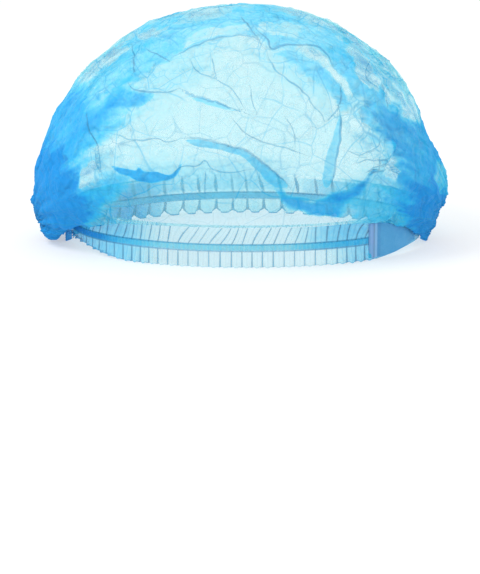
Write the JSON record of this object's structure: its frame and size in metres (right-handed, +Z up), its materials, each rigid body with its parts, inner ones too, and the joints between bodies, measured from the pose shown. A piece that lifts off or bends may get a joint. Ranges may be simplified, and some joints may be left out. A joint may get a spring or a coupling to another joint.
{
  "type": "disposable bouffant cap",
  "caption": "Puffed-open bouffant cap of thin non-woven cloth with an elastic gathered rim, welded end tabs and a flat end patch, hollow to take a head.",
  "frame": {"origin": "middle of the bottom of the cap's box, on the floor under the opening", "axes": "+X from the left welded tab to the right one, -Y the front as seen in the picture, +Z up, the opening facing down"},
  "size_m": [0.2868, 0.2246, 0.1645],
  "materials": {
    "crown_cloth": "matte",
    "hem_cloth": "matte",
    "elastic_band": "matte",
    "welded_cloth": "satin",
    "patch_cloth": "matte"
  },
  "bodies": {
    "root": {"crown": "crown_cloth", "front_hem": "hem_cloth", "back_hem": "hem_cloth", "front_elastic": "elastic_band", "back_elastic": "elastic_band", "left_end_tab": "welded_cloth", "right_end_tab": "welded_cloth", "flat_end_patch": "patch_cloth"}
  },
  "joints": []
}
